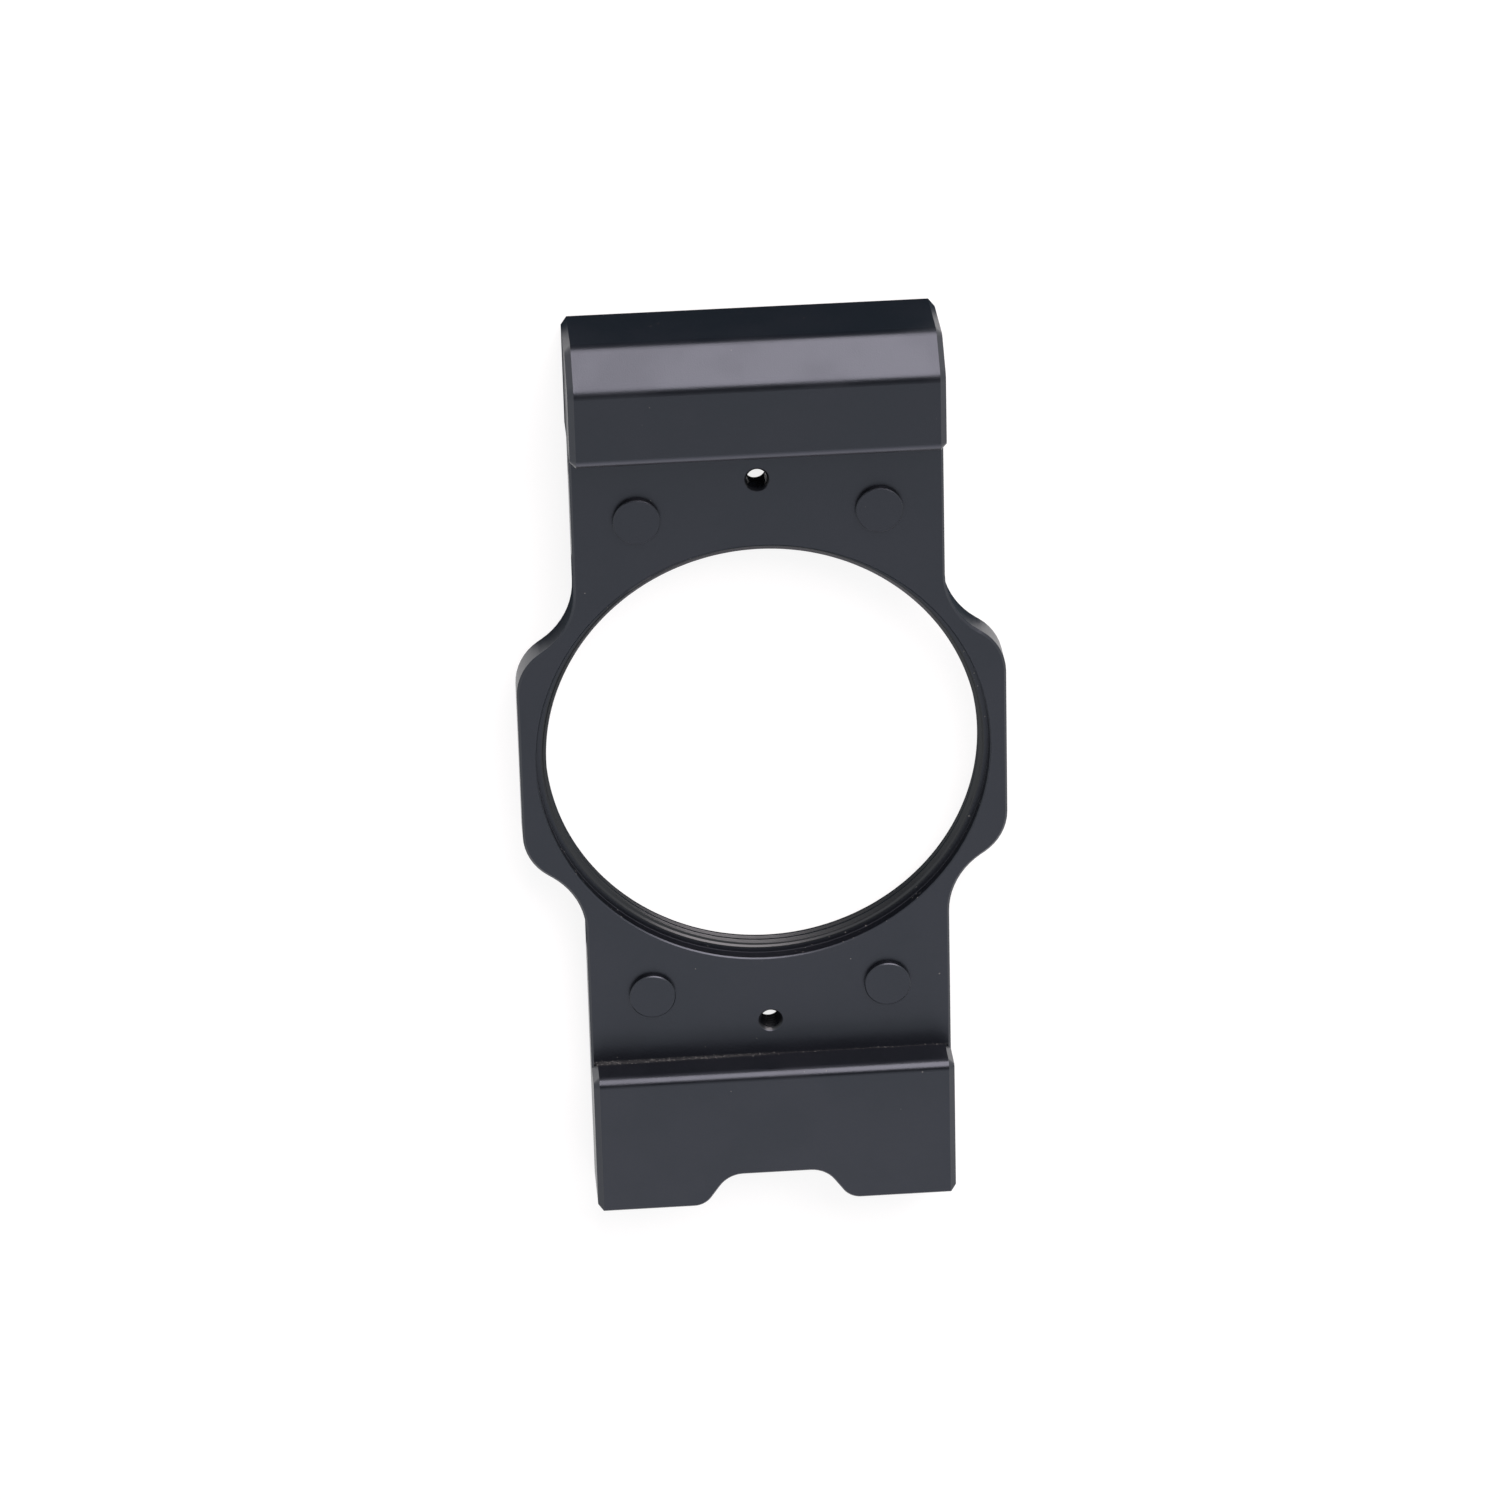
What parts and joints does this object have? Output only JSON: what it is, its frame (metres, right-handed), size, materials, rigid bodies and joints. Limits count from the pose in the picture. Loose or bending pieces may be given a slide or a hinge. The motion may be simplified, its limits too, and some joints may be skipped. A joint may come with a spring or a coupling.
{
  "type": "lens mounting bracket",
  "caption": "Flat milled bracket with a threaded lens hole between two ears, a channel between a bevelled head and a notched lip, low round pads and screw holes.",
  "frame": {"origin": "middle of the lens hole on the plate's back face", "axes": "+X across the plate, +Y along it towards the thick bevelled head, +Z out of the front face with the raised pads; the part lies on its back"},
  "size_m": [0.0406, 0.0778, 0.01],
  "materials": {
    "anodised": "satin"
  },
  "bodies": {
    "root": {"bracket": "anodised"}
  },
  "joints": []
}
